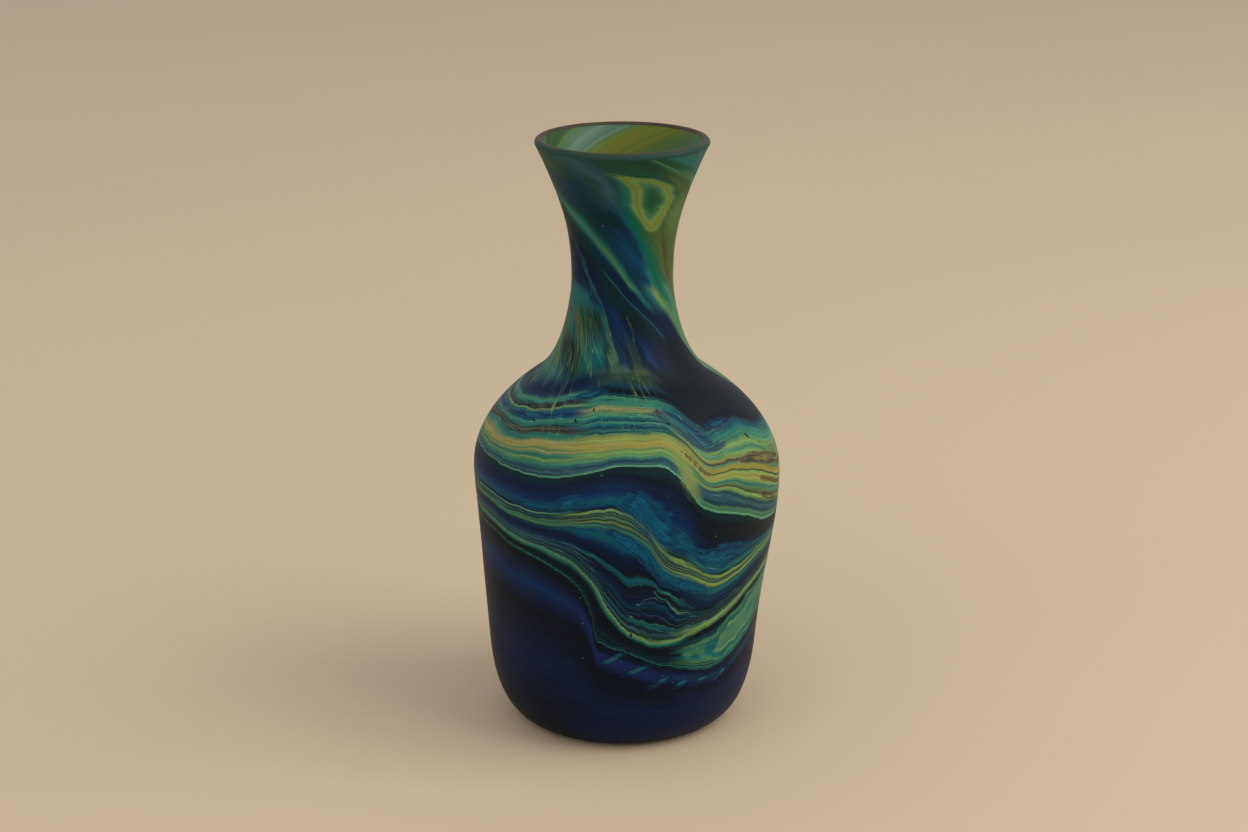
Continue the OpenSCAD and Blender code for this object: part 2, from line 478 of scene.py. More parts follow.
# %% Turn the lip
lip_heading = Vector((math.cos(math.radians(MOUTH_LEAN)), math.sin(math.radians(MOUTH_LEAN))))
lip_across = Vector((-lip_heading.y, lip_heading.x))
lip_centre = Vector((STATIONS[-1][0], MOUTH_H)) + WALL_T / 2 * lip_across
lip_section = arc(lip_centre, LIP_R, MOUTH_LEAN - 90, MOUTH_LEAN + 90, 16)
lip = turn("lip", lip_section, columns=192)
settle(lip, "lip_ring")
lip_points = np.array([v.co for v in lip.data.vertices]) / MM
sagged = np.array([lean(h) for h in lip_points[:, 2]])
outward = np.hypot(lip_points[:, 0] - sagged, lip_points[:, 1]) - lip_centre.x
upward = lip_points[:, 2] - lip_centre.y
to_inside = outward * lip_across.x + upward * lip_across.y
to_top = outward * lip_heading.x + upward * lip_heading.y
keep(lip, "over", np.degrees(np.arctan2(to_inside, to_top)))

# %% [markdown]
# ## The base
# Under the vase the glass is thick and pushed up, so that it stands on a ring. In the middle is
# the mark where the rod was broken off, ground flat. Both are turned like the rest.

# %% Turn the thick base
PUNT_H = 3.2
PONTIL_R = 7.5
PONTIL_T = PUNT_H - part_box("pontil_mark")[0].z / MM
PUNT_STEP = 0.4
PUNT_BEND = 1.8
punt = [Vector((PONTIL_R + (RING_R - PONTIL_R) * t, PUNT_H - (PUNT_H - PUNT_STEP) * t**PUNT_BEND))
        for t in [k / 12 for k in range(13)]]
heel = [p for p in skin(CASING_T, (14, 1, 1, 1, 1)) if p.y < GATHER_LOW + 0.01]
pad_section = [Vector((0, PUNT_H)), *punt, Vector((RING_R, CASING_T)), *heel, Vector((0, GATHER_LOW))]
pad = turn("thick_base", pad_section, columns=128, closed=False)
settle(pad, "base_pad")

# %% Turn the rod's mark
EDGE = 0.5
mark_low = PUNT_H - PONTIL_T
mark_section = [Vector((r, mark_low)) for r in (0, 2, 4, 6)]
mark_section += arc(Vector((PONTIL_R - EDGE, mark_low + EDGE)), EDGE, -90, 0, 6)
mark_section += [Vector((PONTIL_R, PUNT_H)), Vector((0, PUNT_H))]
mark = turn("rod_mark", mark_section, columns=96, closed=False)
settle(mark, "pontil_mark")

# %% [markdown]
# ## Glass colours
# A glass house keeps its colours as rods. These are the ones in this vase, as they look when
# they are finished, written as two hex digits each for red, green and blue.

# %% The rack of rods
RODS = {
    "ink": "14151d", "night": "181d38", "navy": "131d3a", "cobalt": "102a55", "royal": "1e2455",
    "azure": "0a4062", "teal": "0f5560", "petrol": "1c3848", "slate": "33585f", "sea": "26665e",
    "jade": "3f7a60", "mint": "5f9a76", "leaf": "4c7650", "lime": "72904e", "straw": "8c8845",
    "peach": "8a8656", "amber": "7e7a32", "olive": "50583a", "moss": "2a3a32", "umber": "46382a",
    "rust": "6a4a2a", "plum": "28232f", "coal": "171b1c", "pine": "33502f", "fern": "54703a",
    "sage": "50705a", "haze": "647f70", "khaki": "6a7226", "brass": "74782a", "reed": "36502e",
    "kelp": "254d35", "fir": "183f35", "spruce": "284640", "deep": "0f2c30", "gulf": "0c3346",
    "bottle": "14282a", "viridian": "155c4a", "meadow": "485c2b", "bronze": "45421f",
    "glade": "2c5a3a", "lagoon": "0e5c76", "bark": "4a4438", "loam": "34453f", "none": "000000",
    "full": "ffffff",
}
SHEEN = (0.008, 0.0035, 0)  # what the frosted skin adds to a rod's red, green and blue
ROOM_LIGHT = 0.93  # the room is a little brighter than full, so the rods are taken down by this


def rod(name):
    """The linear colour of a rod, less the warm sheen that the frosted skin puts over it."""
    parts = [int(RODS[name][k:k + 2], 16) / 255 for k in (0, 2, 4)]
    parts = [p / 12.92 if p <= 0.04045 else ((p + 0.055) / 1.055) ** 2.4 for p in parts]
    return [*(ROOM_LIGHT * max(0, part - sheen) for part, sheen in zip(parts, SHEEN)), 1]


print(len(RODS), "rods")


# %% [markdown]
# ## A bench for materials
# Node trees are easier to read as short calls. Each call puts one node on the bench, plugs in
# what it is given and hands back its output.

# %% The bench
FROST_DEPTH = 0.0002


class Bench:
    """A new material and the calls that build its nodes."""

    def __init__(self, name):
        self.material = bpy.data.materials.new(name)
        self.material.use_nodes = True
        self.tree = self.material.node_tree
        self.shader = self.tree.nodes["Principled BSDF"]
        self.place = self.put("TexCoord").outputs["Object"]

    def plug(self, socket, value):
        if isinstance(value, bpy.types.NodeSocket):
            self.tree.links.new(value, socket)
        else:
            socket.default_value = value

    def put(self, kind, sockets=(), **settings):
        node = self.tree.nodes.new("ShaderNode" + kind)
        for key, value in settings.items():
            setattr(node, key, value)
        for key, value in dict(sockets).items():
            self.plug(node.inputs[key], value)
        return node

    def number(self, how, *values):
        node = self.put("Math", dict(enumerate(values)), operation=how)
        return node.outputs[0]

    def vector(self, how, *values):
        node = self.put("VectorMath", dict(enumerate(values)), operation=how)
        return node.outputs["Value" if how in ("LENGTH", "DOT_PRODUCT") else "Vector"]

    def kept(self, name, output="Fac"):
        return self.put("Attribute", attribute_name=name).outputs[output]

    def join(self, x, y, z):
        return self.put("CombineXYZ", {0: x, 1: y, 2: z}).outputs[0]

    def turn_by(self, value, angle):
        """A direction, turned round the vase's axis."""
        node = self.put("VectorRotate", {"Vector": value, "Angle": angle}, rotation_type="Z_AXIS")
        return node.outputs[0]

    def ring(self):
        """Which way a point faces from the axis, as a vector of length 1."""
        return self.vector("NORMALIZE", self.vector("MULTIPLY", self.place, (1, 1, 0)))

    def split(self, value):
        return self.put("SeparateXYZ", {0: value}).outputs

    def grain(self, where, scale, detail=2.0, rough=0.5):
        """Cloudy noise from 0 to 1."""
        node = self.put("TexNoise", {"Vector": where, "Scale": scale, "Detail": detail, "Roughness": rough})
        return node.outputs["Fac"]

    def span(self, value, low, high, to_low=0.0, to_high=1.0, smooth=False):
        """value from low..high onto to_low..to_high, and no further."""
        kind = "SMOOTHSTEP" if smooth else "LINEAR"
        ends = {0: value, 1: low, 2: high, 3: to_low, 4: to_high}
        node = self.put("MapRange", ends, interpolation_type=kind)
        return node.outputs[0]

    def seam(self, cloudy, width):
        """Thin lines where cloudy noise passes its middle: 1 on the line, 0 from width away."""
        off = self.number("ABSOLUTE", self.number("SUBTRACT", cloudy, 0.5))
        return self.span(off, width * 0.3, width, 1, 0)

    def mix(self, amount, a, b, how="MIX"):
        node = self.put("Mix", {0: amount, 6: a, 7: b}, data_type="RGBA", blend_type=how)
        return node.outputs[2]

    def bands(self, value, low, high, recipe):
        """Colours along a value: recipe is 'place rod place rod ...', places in the value's own units."""
        words = recipe.split()
        node = self.put("ValToRGB", {0: self.span(value, low, high)})
        stops = node.color_ramp.elements
        for k, (at, name) in enumerate(zip(words[::2], words[1::2])):
            where = min(1, max(0, (float(at) - low) / (high - low)))
            stop = stops[k] if k < 2 else stops.new(where)
            stop.position = where
            stop.color = rod(name)
        return node.outputs[0]

    def coat(self, colour, rough, gloss, frost=0, grains=2600):
        """Plugs in a colour, sets how satin it is, and frosts it, with so many grains in a metre."""
        self.plug(self.shader.inputs["Base Color"], colour)
        self.shader.inputs["Roughness"].default_value = rough
        self.shader.inputs["Specular IOR Level"].default_value = gloss
        if frost:
            height = self.grain(self.place, grains, 2)
            bump = self.put("Bump", {"Strength": frost, "Distance": FROST_DEPTH, "Height": height})
            self.plug(self.shader.inputs["Normal"], bump.outputs[0])

    def finish(self, piece):
        piece.data.materials.clear()
        piece.data.materials.append(self.material)
        print(self.material.name, "has", len(self.tree.nodes), "nodes")


# %% [markdown]
# ## The swirled casing
# The recipe of the swirl is written three times, for the left, the middle and the right of the
# vase, because the threads thicken, fade and change colour on their way round.

# %% Recipes of the body, from the foot up
# layer rod layer rod ..., from the lowest layer to the highest
SKIRT_LEFT = (
    "-1 ink -0.6 night -0.32 ink -0.24 night -0.17 cobalt -0.11 night -0.05 ink -0.015 ink "
    "0 sea 0.04 bottle 0.2 ink 0.45 ink 0.62 fir 0.75 sea 0.9 jade 0.97 leaf 1.0 mint "
    "1.02 bottle 1.06 slate 1.09 ink 1.14 slate 1.17 navy 1.2 petrol"
)
SKIRT_MIDDLE = (
    "-1 night -0.7 night -0.45 ink -0.3 ink -0.22 royal -0.14 royal -0.08 ink -0.02 ink "
    "0.0 sea 0.02 ink 0.07 petrol 0.1 ink 0.2 bottle 0.4 ink 0.5 ink 0.76 ink 0.82 fir "
    "0.9 sea 0.96 jade 1.0 lime 1.02 leaf 1.03 ink 1.07 slate 1.09 ink 1.13 teal 1.15 ink "
    "1.2 navy"
)
SKIRT_RIGHT = (
    "-1 night -0.5 night -0.3 ink -0.24 navy -0.18 petrol -0.12 navy -0.06 ink 0.0 sea "
    "0.03 ink 0.06 jade 0.08 coal 0.12 leaf 0.2 sea 0.3 teal 0.42 petrol 0.5 sea 0.6 leaf "
    "0.66 fir 0.74 petrol 0.8 ink 0.92 ink 0.96 leaf 1.0 lime 1.07 lime 1.1 jade 1.12 umber "
    "1.14 slate 1.17 ink 1.2 petrol"
)
SASH_LEFT = (
    "1.2 petrol 1.27 slate 1.3 petrol 1.4 cobalt 1.55 navy 1.66 navy 1.72 gulf 1.78 fir "
    "1.84 leaf 1.92 sea 1.97 leaf 1.99 ink 2.03 petrol 2.06 slate 2.09 ink 2.12 slate "
    "2.15 mint 2.17 ink 2.22 navy 2.28 teal 2.36 azure 2.5 cobalt 2.65 navy 2.8 night "
    "2.9 bottle 2.98 bottle 2.99 jade 3.0 mint"
)
SASH_MIDDLE = (
    "1.2 ink 1.23 gulf 1.26 navy 1.36 ink 1.42 teal 1.46 ink 1.6 navy 1.68 azure 1.75 teal "
    "1.8 azure 1.86 jade 1.88 cobalt 1.91 lime 1.93 ink 1.96 sage 1.98 ink 2.0 sage "
    "2.02 ink 2.05 sage 2.07 lime 2.1 lime 2.12 ink 2.22 azure 2.3 teal 2.4 azure "
    "2.5 cobalt 2.7 night 2.84 ink 2.94 bottle 2.98 bottle 2.99 mint"
)
SASH_RIGHT = (
    "1.2 umber 1.23 ink 1.28 petrol 1.3 ink 1.35 petrol 1.38 ink 1.5 navy 1.6 gulf "
    "1.68 petrol 1.76 sea 1.82 teal 1.85 olive 1.88 lime 1.92 lime 1.95 plum 1.98 sage "
    "2.01 ink 2.03 lime 2.06 lime 2.08 ink 2.12 teal 2.18 sea 2.25 gulf 2.32 teal 2.4 night "
    "2.6 ink 2.75 coal 2.8 ink 2.97 bottle 2.98 jade 3.0 mint"
)
SHAWL_LEFT = (
    "3 mint 3.03 jade 3.06 petrol 3.15 slate 3.2 petrol 3.28 slate 3.33 sea 3.42 jade "
    "3.48 leaf 3.52 lime 3.56 leaf 3.62 sea 3.7 leaf 3.76 peach 3.82 leaf 3.9 straw "
    "4.05 peach 4.12 jade 4.18 sea 4.25 sea 4.27 umber 4.33 plum 4.36 olive 4.4 umber "
    "4.43 petrol 4.5 sea 4.58 jade 4.62 teal 4.7 cobalt 4.78 azure 4.85 teal 4.9 lime"
)
SHAWL_MIDDLE = (
    "3 mint 3.03 jade 3.06 slate 3.2 petrol 3.3 slate 3.38 jade 3.44 lime 3.49 jade "
    "3.55 lime 3.65 lime 3.7 leaf 3.76 straw 3.9 straw 4.0 straw 4.06 lime 4.1 straw "
    "4.2 leaf 4.23 petrol 4.28 sea 4.33 petrol 4.4 teal 4.46 jade 4.49 petrol 4.54 teal "
    "4.6 jade 4.66 leaf 4.76 peach 4.83 jade 4.92 sea 5 sea"
)
SHAWL_RIGHT = (
    "3 mint 3.03 leaf 3.08 sea 3.12 leaf 3.16 petrol 3.3 slate 3.36 petrol 3.42 leaf "
    "3.48 lime 3.52 lime 3.54 plum 3.57 olive 3.66 leaf 3.74 sea 3.8 lime 3.9 straw "
    "4.02 lime 4.05 ink 4.08 straw 4.16 amber 4.22 leaf 4.3 umber 4.36 straw 4.42 lime "
    "4.5 jade 4.62 lime 4.72 jade 4.85 sea 4.95 teal 5.0 petrol"
)
CREST_LEFT = (
    "4.9 lime 4.93 plum 5.02 plum 5.06 sea 5.14 jade 5.2 petrol 5.3 navy 5.45 navy "
    "5.6 petrol 5.8 sea 6 moss"
)
CREST_MIDDLE = (
    "4.9 sea 5 jade 5.03 ink 5.05 teal 5.07 ink 5.15 ink 5.25 petrol 5.35 moss 5.42 moss "
    "5.5 moss 5.6 olive 5.7 petrol 5.8 night 6 ink"
)
CREST_RIGHT = "4.9 teal 5 petrol 5.07 ink 5.2 ink 5.4 coal 5.6 ink 6 ink"


# %% Colour of the body
def round_body(bench, left, middle, right, layer, side, low, high):
    """One stretch of layers, with its three recipes melted into each other round the vase."""
    colour = bench.mix(bench.span(side, 0.12, 0.42), bench.bands(layer, low, high, left),
                       bench.bands(layer, low, high, middle))
    return bench.mix(bench.span(side, 0.6, 0.9), colour, bench.bands(layer, low, high, right))


def threads(bench, ring, layer, seed, width):
    """Hair-thin lines that run along the layers, from noise that is drawn out round the vase."""
    cloudy = bench.vector("ADD", bench.vector("MULTIPLY", ring, (1.3, 1.3, 0)),
                          bench.join(0, 0, bench.number("MULTIPLY_ADD", layer, 19, seed)))
    return bench.seam(bench.grain(cloudy, 1.0, 2, 0.5), width)


def body_colour(bench, ring, layer):
    """The dragged swirl from the foot to the shoulder."""
    pace = bench.kept("pace")
    crinkle_at = bench.vector("ADD", bench.vector("MULTIPLY", ring, (11, 11, 0)), bench.join(0, 0, layer))
    crinkle = bench.span(bench.grain(crinkle_at, 1.0, 3, 0.55), 0.2, 0.8, -0.35, 0.35)
    drawn = bench.number("MULTIPLY_ADD", crinkle, pace, layer)
    slow_at = bench.vector("ADD", ring, bench.join(0, 0, bench.number("MULTIPLY", layer, 4)))
    slow = bench.span(bench.grain(slow_at, 2.2, 3), 0.2, 0.8, -0.16, 0.16)
    side = bench.number("ADD", bench.kept("side"), slow)
    colour = round_body(bench, SKIRT_LEFT, SKIRT_MIDDLE, SKIRT_RIGHT, drawn, side, -1, 1.2)
    sash = round_body(bench, SASH_LEFT, SASH_MIDDLE, SASH_RIGHT, drawn, side, 1.2, 3)
    shawl = round_body(bench, SHAWL_LEFT, SHAWL_MIDDLE, SHAWL_RIGHT, drawn, side, 3, 5)
    crest = round_body(bench, CREST_LEFT, CREST_MIDDLE, CREST_RIGHT, drawn, side, 4.9, 6)
    colour = bench.mix(bench.number("GREATER_THAN", drawn, 1.2), colour, sash)
    colour = bench.mix(bench.number("GREATER_THAN", drawn, 3.0), colour, shawl)
    colour = bench.mix(bench.number("GREATER_THAN", drawn, 4.9), colour, crest)
    return colour, drawn


# %% [markdown]
# A stain's colours go from its edge to its middle. Outside its edge it changes nothing. Each has
# its colours, how strongly they cover, how much they are streaked along the layers, and how far
# in from the edge they have come up in full.

# %% Stains on the body
LEAF = ("0 petrol 0.06 sea 0.12 jade 0.18 leaf 0.26 sea 0.34 teal 0.4 sea 0.46 jade 0.51 lime "
        "0.56 leaf 0.64 jade 0.74 leaf 0.85 jade 1 sea")
CLOUD = "0 navy 0.15 gulf 0.22 lagoon 0.3 azure 0.42 gulf 0.52 azure 0.66 lagoon 0.78 azure 1 lagoon"
EMBER = "0 straw 0.08 amber 0.18 umber 0.26 rust 0.36 umber 0.48 plum 0.6 umber 0.7 rust 0.85 amber"
FEATHER = "0 royal 0.2 navy 0.4 gulf 0.55 teal 0.8 slate"
HOOK = "0 leaf 0.2 lime 0.4 straw 0.55 lime 0.8 straw 1 lime"
POOL = "0 teal 0.1 azure 0.22 cobalt 0.4 navy 0.55 azure 0.7 teal"
GRAINS = {
    "leaf": (LEAF, 0.9, 0.3, 0.16),
    "cloud": (CLOUD, 0.85, 1.1, 0.35),
    "feather": (FEATHER, 0.8, 0.6, 0.1),
    "hook": (HOOK, 0.8, 0.35, 0.6),
    "ember": (EMBER, 0.8, 1, 0.1),
    "pool": (POOL, 0.8, 1, 0.16),
}


def stained(bench, colour, drawn, ring):
    """Lays the stains over the body's colour, streaked along the layers."""
    streak_at = bench.vector("ADD", bench.vector("MULTIPLY", ring, (3, 3, 0)),
                             bench.join(0, 0, bench.number("MULTIPLY", drawn, 16)))
    streak = bench.span(bench.grain(streak_at, 1.0, 4, 0.6), 0.25, 0.75, -0.3, 0.3)
    for name, (recipe, strength, streaky, fade) in GRAINS.items():
        value = bench.number("MULTIPLY_ADD", streak, streaky, bench.kept(name))
        cover = bench.span(value, 0, fade, 0, strength)
        colour = bench.mix(cover, colour, bench.bands(value, 0, 1, recipe))
    return colour


# %% [markdown]
# The neck has nine recipes, one above the other by height, each read along the strands. Between
# two of them the colours melt. The loop and the wisp lie over them, and fine fibres over all.

# %% Colour of the neck
NECK = {
    123: ("0 petrol 0.25 jade 0.4 slate 0.5 petrol 0.6 bottle 0.75 bottle 0.85 navy 0.95 petrol "
          "1.1 sage 1.2 moss 1.3 olive 1.5 moss 1.6 ink 2 coal 3 ink 3.5 ink 3.9 navy 3.98 leaf "
          "4.3 leaf 4.6 jade 5.2 navy 5.8 navy 6.1 teal 6.5 leaf 6.8 sea 7 petrol"),
    131: ("0 petrol 0.3 leaf 0.44 moss 0.55 coal 0.63 moss 0.72 sea 0.81 teal 0.88 sea 0.95 navy "
          "1 leaf 1.04 petrol 1.2 navy 1.4 moss 1.6 navy 1.75 cobalt 1.85 night 2.4 ink 3.2 coal "
          "3.7 ink 3.9 navy 3.98 leaf 4.3 leaf 4.5 jade 5 jade 5.5 navy 6.1 teal 6.5 leaf 6.8 sea "
          "7 petrol"),
    142: ("0 petrol 0.3 sea 0.45 olive 0.52 sea 0.58 teal 0.66 olive 0.75 fir 0.84 moss 0.92 bottle "
          "0.98 sea 1.02 navy 1.3 cobalt 1.5 navy 1.7 coal 2.37 bottle 2.6 navy 3.3 night 3.7 navy "
          "3.92 leaf 4.04 leaf 4.2 leaf 4.35 jade 4.6 leaf 5 leaf 5.6 navy 6.1 teal 6.5 leaf 6.8 sea "
          "7 petrol"),
    150: ("0 petrol 0.4 sea 0.6 teal 0.8 sea 0.92 teal 0.97 navy 1 sea 1.03 navy 1.5 bottle 2 bottle "
          "2.2 navy 2.8 navy 2.9 petrol 3.05 sea 3.3 petrol 3.7 sea 3.97 lime 4.12 leaf 4.35 viridian "
          "4.6 jade 5 olive 5.5 leaf 5.8 navy 6.2 teal 6.5 jade 6.8 sea 7 petrol"),
    156: ("0 petrol 0.5 petrol 0.8 navy 0.97 navy 1 sea 1.03 navy 1.33 navy 1.6 bottle 2 bottle "
          "2.3 navy 2.7 navy 2.85 fir 3 leaf 3.15 sea 3.3 gulf 3.6 gulf 3.85 azure 4.0 sea "
          "4.15 viridian 4.4 viridian 4.65 glade 4.85 olive 4.96 bronze 5.06 meadow 5.4 meadow "
          "5.8 navy 6.2 teal 6.6 jade 7 petrol"),
    166: ("0 petrol 0.5 petrol 0.75 navy 0.94 navy 0.98 navy 1 teal 1.03 night 1.4 coal 1.95 bottle "
          "2.3 deep 2.7 gulf 2.88 sea 3.03 leaf 3.14 sea 3.3 gulf 3.73 azure 3.95 gulf 4.08 teal "
          "4.25 viridian 4.5 glade 4.8 meadow 4.92 meadow 5.0 bronze 5.1 meadow 5.6 meadow 5.9 navy "
          "6.3 teal 6.6 jade 7 petrol"),
    177: ("0 petrol 0.6 sea 1.1 umber 1.8 coal 2.2 bottle 2.6 fir 2.85 sea 3 jade 3.12 sea 3.25 fir "
          "3.5 deep 3.8 deep 3.92 gulf 4.02 teal 4.15 viridian 4.4 glade 4.7 meadow 5.0 meadow "
          "5.2 fern 5.6 meadow 6.1 navy 6.4 teal 6.7 jade 7 petrol"),
    187: ("0 petrol 0.8 sage 1.6 reed 2.3 spruce 2.8 sea 3.05 spruce 3.25 petrol 3.7 petrol "
          "3.85 spruce 3.95 slate 4.1 spruce 4.2 sea 4.6 kelp 5 kelp 5.3 meadow 5.7 reed 6.1 leaf "
          "6.5 sea 7 petrol"),
    195: ("0 sea 1 petrol 2 slate 3 petrol 3.37 spruce 3.5 reed 3.66 spruce 3.94 slate 4.3 spruce "
          "4.7 kelp 5.3 moss 5.6 kelp 5.85 leaf 5.95 kelp 6.6 kelp 7 sea"),
}
LOOP = "-6 kelp -2 leaf 0.5 lime 2.5 brass 4.5 lime 6 leaf 8 glade 9.5 kelp 11 sea 13 gulf"


def neck_colour(bench, ring, height):
    """The helical streaks of the neck and mouth, as recipes melted into each other up the neck."""
    x, y, _ = bench.split(bench.kept("strand", "Vector"))
    strand = bench.number("MULTIPLY_ADD", bench.number("ARCTAN2", y, x), 3.5 / math.pi, 3.5)
    turned = bench.turn_by(ring, bench.kept("twist"))
    tall = bench.join(0, 0, bench.number("MULTIPLY", height, 0.05))
    along = bench.vector("ADD", bench.vector("MULTIPLY", turned, (3, 3, 0)), tall)
    strand = bench.number("ADD", strand, bench.span(bench.grain(along, 2.0, 3, 0.5), 0.2, 0.8, -0.07, 0.07))
    frayed = bench.grain(bench.vector("MULTIPLY", along, (2, 2, 1)), 1.0, 2, 0.5)
    level = bench.number("ADD", height, bench.span(frayed, 0.25, 0.75, -2, 2))
    marks = list(NECK)
    colour = bench.bands(strand, 0, 7, NECK[marks[0]])
    for below, above in zip(marks, marks[1:]):
        gap = 0.05 * (above - below)
        melt = bench.span(level, below + gap, above - gap, smooth=True)
        colour = bench.mix(melt, colour, bench.bands(strand, 0, 7, NECK[above]))
    uneven = bench.span(bench.grain(along, 3.0, 3, 0.5), 0.2, 0.8, -1, 1)
    loop = bench.number("ADD", bench.kept("loop"), uneven)
    loop_colour = bench.bands(loop, -6, 20, LOOP)
    colour = bench.mix(bench.span(loop, -5, 2, 0, 0.9, smooth=True), colour, loop_colour)
    colour = bench.mix(bench.span(bench.kept("wisp"), 0.4, 1.8, 0.8, 0), colour, rod("sea"))
    fine = bench.grain(bench.vector("MULTIPLY", along, (14, 14, 1)), 1.6, 5, 0.75)
    low_down = bench.span(height, 128, 160, 0.75, 0.26)
    shade = bench.number("MULTIPLY_ADD", bench.span(fine, 0.3, 0.7, -1, 1), low_down, 1)
    return bench.mix(1.0, colour, shade, how="MULTIPLY")


# %% [markdown]
# Three finer things go over the colours. Threads run along the layers where the maker combed
# them. Hairlines were pulled up across them, from the shoulder into the neck. Seeds are specks of
# air, and they show best in the dark glass.

# %% Threads, hairlines and seeds
# how strong the threads are in each layer: none, full, or a rod of that brightness
COMBED = ("0 none 0.95 none 1.0 full 1.4 full 1.5 none 1.9 none 1.95 full 2.12 full 2.2 none 2.95 none "
          "3.05 full 3.4 full 3.6 reed 4.1 reed 4.2 full 5.0 full 5.1 none 6 none")


def combed(bench, colour, ring, drawn):
    """Lays dark and pale threads along the layers, only where the maker combed them."""
    rich = bench.bands(drawn, 0, 6, COMBED)
    fine_at = bench.vector("ADD", bench.vector("MULTIPLY", ring, (2.2, 2.2, 0)),
                           bench.join(0, 0, bench.number("MULTIPLY", drawn, 26)))
    fine = bench.grain(fine_at, 1.0, 5, 0.7)
    colour = bench.mix(1.0, colour, bench.span(fine, 0.32, 0.68, 0.66, 1.38), how="MULTIPLY")
    dark = bench.number("MULTIPLY", threads(bench, ring, drawn, 0, 0.016), rich)
    colour = bench.mix(bench.number("MULTIPLY", dark, 0.75), colour, rod("plum"))
    pale = bench.number("MULTIPLY", threads(bench, ring, drawn, 90, 0.013), rich)
    return bench.mix(bench.number("MULTIPLY", pale, 0.6), colour, rod("mint"))


def pulled(bench, colour, ring, height):
    """Lays pale hairlines up the shoulder and the foot of the neck, on the left and the middle."""
    leaned = bench.turn_by(ring, bench.number("MULTIPLY", bench.kept("twist"), 0.55))
    hair_at = bench.vector("ADD", bench.vector("MULTIPLY", leaned, (9, 9, 0)),
                           bench.join(0, 0, bench.number("MULTIPLY", height, 0.03)))
    hair = bench.seam(bench.grain(hair_at, 1.0, 2, 0.6), 0.010)
    where = bench.number("MULTIPLY", bench.span(height, 104, 114), bench.span(height, 138, 156, 1, 0))
    where = bench.number("MULTIPLY", where, bench.span(bench.kept("side"), 0.35, 0.75, 1, 0))
    patchy = bench.span(bench.grain(bench.place, 80, 2), 0.40, 0.52)
    hair = bench.number("MULTIPLY", bench.number("MULTIPLY", hair, where), patchy)
    return bench.mix(bench.number("MULTIPLY", hair, 0.7), colour, rod("lime"))


def seeded(bench, colour):
    """Pale specks of air, in the middle of some of the cells of a Voronoi pattern."""
    cells = bench.put("TexVoronoi", {"Vector": bench.place, "Scale": 300})
    speck = bench.span(cells.outputs["Distance"], 0.03, 0.09, 1, 0)
    chosen = bench.span(bench.split(cells.outputs["Color"])[0], 0.5, 0.9)
    speck = bench.number("MULTIPLY", speck, chosen)
    return bench.mix(bench.number("MULTIPLY", speck, 0.85), colour, rod("haze"))


# %% The casing's glass
def swirled_glass():
    bench = Bench("swirled_glass")
    ring = bench.ring()
    height = bench.number("MULTIPLY", bench.split(bench.place)[2], 1000)
    layer = bench.kept("layer")
    body, drawn = body_colour(bench, ring, layer)
    body = stained(bench, body, drawn, ring)
    body = combed(bench, body, ring, drawn)
    ragged = bench.grain(bench.vector("MULTIPLY", bench.place, (1, 1, 0.3)), 240, 4, 0.6)
    where = bench.number("ADD", layer, bench.span(ragged, 0.25, 0.75, -0.35, 0.35))
    colour = bench.mix(bench.span(where, 5.35, 5.9, smooth=True), body, neck_colour(bench, ring, height))
    colour = seeded(bench, pulled(bench, colour, ring, height))
    bench.coat(colour, rough=0.5, gloss=0.12, frost=0.12)
    return bench


swirled_glass().finish(casing)

# %% [markdown]
# ## The lining
# Seen through the mouth, the bubble is painted paler than the casing. This is partly its own pale tint and
# partly painted glow, which stands for light shining in through the far wall. Its broad soft streaks follow
# the same twist.

# %% The lining, lip and base
# angle rod angle rod ..., in turned degrees
# pale rods: the lining's own tint, brightened with painted glow for light coming through the wall
LINING_WITH_PAINTED_GLOW = ("-180 pine -128 pine -106 fern -88 sage -66 fern -44 khaki -26 khaki -10 fern 4 haze 22 sage "
          "42 fern 62 pine 95 fern 130 khaki 158 sage 180 pine")


def lining_glass_painted_glow():
    bench = Bench("lining_glass_painted_glow")
    turned = bench.turn_by(bench.ring(), bench.kept("twist"))
    x, y, _ = bench.split(turned)
    streak = bench.number("DEGREES", bench.number("ARCTAN2", x, bench.number("MULTIPLY", y, -1)))
    streak = bench.number("ADD", streak, bench.span(bench.grain(turned, 2.0, 2), 0.2, 0.8, -34, 34))
    # the lining's paler colours carry painted glow where light would shine through the glass
    colour = bench.bands(streak, -180, 180, LINING_WITH_PAINTED_GLOW)
    fine = bench.grain(bench.vector("MULTIPLY", turned, (9, 9, 1)), 1.0, 3)
    colour = bench.mix(1.0, colour, bench.span(fine, 0.3, 0.7, 0.9, 1.1), how="MULTIPLY")
    bench.coat(colour, rough=0.45, gloss=0.15)
    return bench


def plain_glass(name, first, second, scale, rough):
    """A quiet piece of glass: two rods melted together in soft clouds."""
    bench = Bench(name)
    melt = bench.grain(bench.place, scale, 4, 0.6)
    colour = bench.mix(bench.span(melt, 0.3, 0.7), rod(first), rod(second))
    bench.coat(colour, rough, gloss=0.15, frost=0.15, grains=2400)
    return bench


def lip_glass():
    """The casing's dark skin runs over the outside of the lip, and the crest is melted brown."""
    bench = Bench("lip_glass")
    melt = bench.span(bench.grain(bench.vector("MULTIPLY", bench.place, (1, 1, 3)), 110, 4, 0.6), 0.3, 0.7)
    skin_glass = bench.mix(melt, rod("loam"), rod("spruce"))
    crest = bench.mix(melt, rod("umber"), rod("bark"))
    over = bench.number("ADD", bench.kept("over"), bench.span(melt, 0, 1, -14, 14))
    colour = bench.mix(bench.span(over, -40, 20, smooth=True), skin_glass, crest)
    bench.coat(colour, rough=0.5, gloss=0.12)
    return bench


